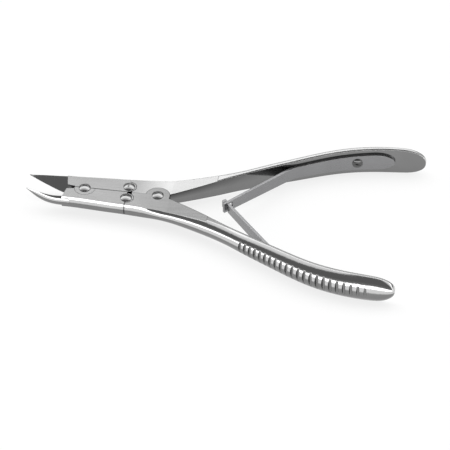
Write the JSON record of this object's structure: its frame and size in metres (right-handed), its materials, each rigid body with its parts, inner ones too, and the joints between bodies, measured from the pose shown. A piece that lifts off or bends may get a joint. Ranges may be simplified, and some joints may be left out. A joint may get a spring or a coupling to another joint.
{
  "type": "bone cutting forceps",
  "caption": "Double-action bone cutting forceps: jaws with angled blades driven by crossed links, leaf-sprung handles with ribbed grips.",
  "frame": {"origin": "on the handle pivot's axis, at the head's flat underside", "axes": "+X along the axis of symmetry towards the handles' ends, +Y towards the upper handle, +Z out of the face with the screw heads"},
  "size_m": [0.181, 0.1042, 0.014],
  "materials": {
    "satin_steel": "satin stainless steel, rounded sides polished brighter",
    "screw_steel": "polished stainless steel",
    "spring_steel": "satin spring steel"
  },
  "bodies": {
    "lower_handle": {"lower_handle": "satin_steel", "lower_spring_screw": "screw_steel"},
    "upper_handle": {"upper_handle": "satin_steel", "upper_spring_screw": "screw_steel", "handle_pivot_screw": "screw_steel"},
    "upper_jaw": {"upper_jaw": "satin_steel", "upper_link_screw": "screw_steel"},
    "lower_jaw": {"lower_jaw": "satin_steel", "lower_link_screw": "screw_steel", "jaw_pivot_screw": "screw_steel"},
    "upper_spring": {"upper_leaf_spring": "spring_steel"},
    "lower_spring": {"lower_leaf_spring": "spring_steel"}
  },
  "joints": [
    {"name": "handle_pivot", "type": "hinge", "parent": "lower_handle", "child": "upper_handle", "pos_m": [0, 0, 0.0029], "axis": [0, 0, -1], "range_deg": [0, 29], "stiffness_Nm_per_rad": 0.35, "springref_deg": -8.59},
    {"name": "upper_link", "type": "hinge", "parent": "upper_handle", "child": "upper_jaw", "pos_m": [-0.0143, 0.0041, 0.0029], "axis": [0, 0, 1], "range_deg": [0, 24.5]},
    {"name": "lower_link", "type": "hinge", "parent": "lower_handle", "child": "lower_jaw", "pos_m": [-0.0143, -0.0041, 0.0029], "axis": [0, 0, -1], "range_deg": [0, 24.5]},
    {"name": "upper_spring_bend", "type": "hinge", "parent": "upper_handle", "child": "upper_spring", "pos_m": [0.06, 0.0311, 0.0029], "axis": [0, 0, -1], "range_deg": [0, 12.7], "deforming": ["upper_leaf_spring"]},
    {"name": "lower_spring_bend", "type": "hinge", "parent": "lower_handle", "child": "lower_spring", "pos_m": [0.06, -0.0311, 0.0029], "axis": [0, 0, 1], "range_deg": [0, 12.7], "deforming": ["lower_leaf_spring"]}
  ],
  "couplings": [
    {"joint": "upper_link", "follows": "handle_pivot", "ratio": 0.843},
    {"joint": "lower_link", "follows": "handle_pivot", "ratio": 0.843},
    {"joint": "upper_spring_bend", "follows": "handle_pivot", "ratio": 0.435},
    {"joint": "lower_spring_bend", "follows": "handle_pivot", "ratio": 0.435}
  ]
}
